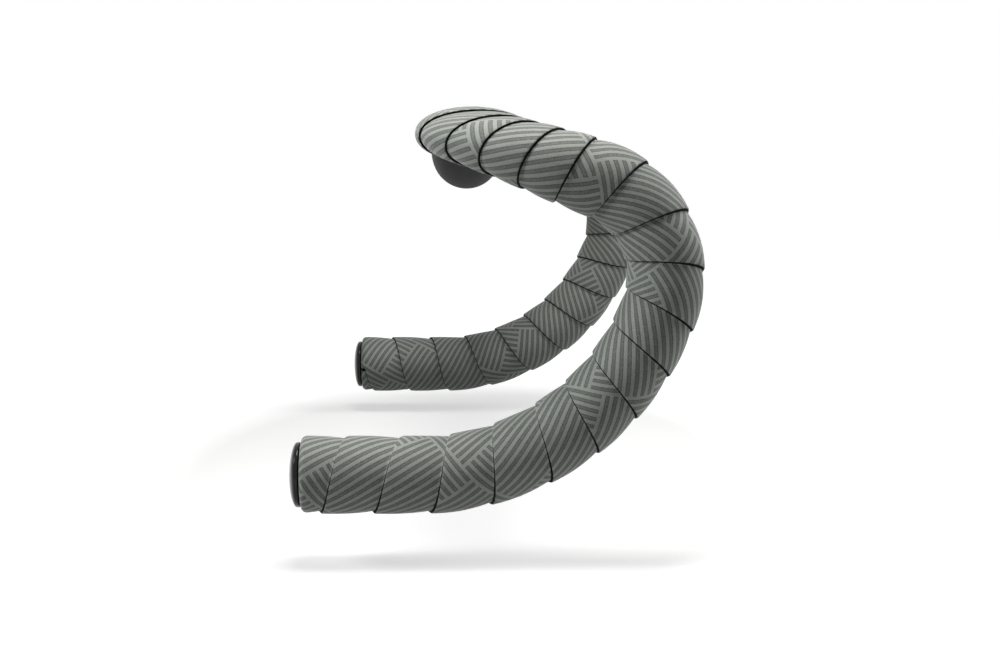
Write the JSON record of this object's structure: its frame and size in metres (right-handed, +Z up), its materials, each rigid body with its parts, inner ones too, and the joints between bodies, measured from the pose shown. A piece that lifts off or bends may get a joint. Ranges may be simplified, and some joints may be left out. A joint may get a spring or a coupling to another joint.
{
  "type": "taped drop handlebar",
  "caption": "Drop handlebar with flattened tops and rounded hooks, each half wound with overlapping padded grip tape, closed by domed end plugs and bands of finishing tape.",
  "frame": {"origin": "middle of the round clamp section, on its axis", "axes": "+X forward, the way the hooks point; +Y across the bar to the rider's left; +Z up"},
  "size_m": [0.1663, 0.452, 0.1633],
  "materials": {
    "bar": "matte dark grey",
    "tape": "matte embossed microfibre with diagonal stripes",
    "plug": "gloss black",
    "finishing_tape": "satin black vinyl"
  },
  "bodies": {
    "root": {"handlebar": "bar", "right_tape": "tape", "left_tape": "tape", "right_end_plug": "plug", "left_end_plug": "plug", "right_finishing_tape": "finishing_tape", "left_finishing_tape": "finishing_tape"}
  },
  "joints": []
}
